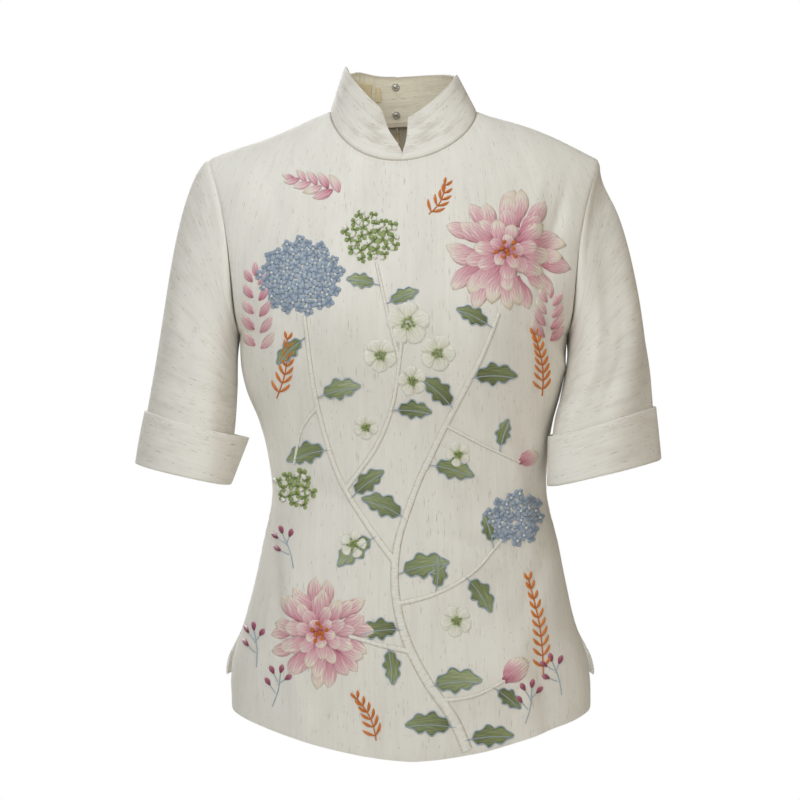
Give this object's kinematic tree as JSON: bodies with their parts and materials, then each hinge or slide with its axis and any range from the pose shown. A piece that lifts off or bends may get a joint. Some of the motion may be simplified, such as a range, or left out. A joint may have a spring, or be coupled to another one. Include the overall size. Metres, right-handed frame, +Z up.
{
  "type": "qipao top",
  "caption": "Fitted short-sleeved top with a stand collar split at the front, set-in sleeves with turned-back cuffs, side slits and a zip down the back.",
  "frame": {"origin": "middle of the neck, level with the inner ends of the shoulder seams", "axes": "+Z up, the wearer faces -Y, the wearer's left side is +X"},
  "size_m": [0.5199, 0.2455, 0.6757],
  "materials": {
    "linen": "matt slubbed linen and silk weave, off-white",
    "tape": "plain cream tape",
    "metal": "small nickelled fastenings"
  },
  "bodies": {
    "garment": {"front": "linen", "back_left": "linen", "back_right": "linen", "sleeve_left": "linen", "sleeve_right": "linen", "cuff_left": "linen", "cuff_right": "linen", "collar_left": "linen", "collar_right": "linen", "neck_label": "tape", "size_tab": "tape", "zip_tape_left": "tape", "zip_tape_right": "tape", "snap_upper": "metal", "snap_lower": "metal", "zip_slider": "metal"},
    "pull": {"zip_pull": "metal"}
  },
  "joints": [
    {"name": "pull_hinge", "type": "hinge", "parent": "garment", "child": "pull", "pos_m": [-0.00552, 0.07749, -0.03249], "axis": [1, 0, 0], "range_deg": [0, 120]}
  ]
}
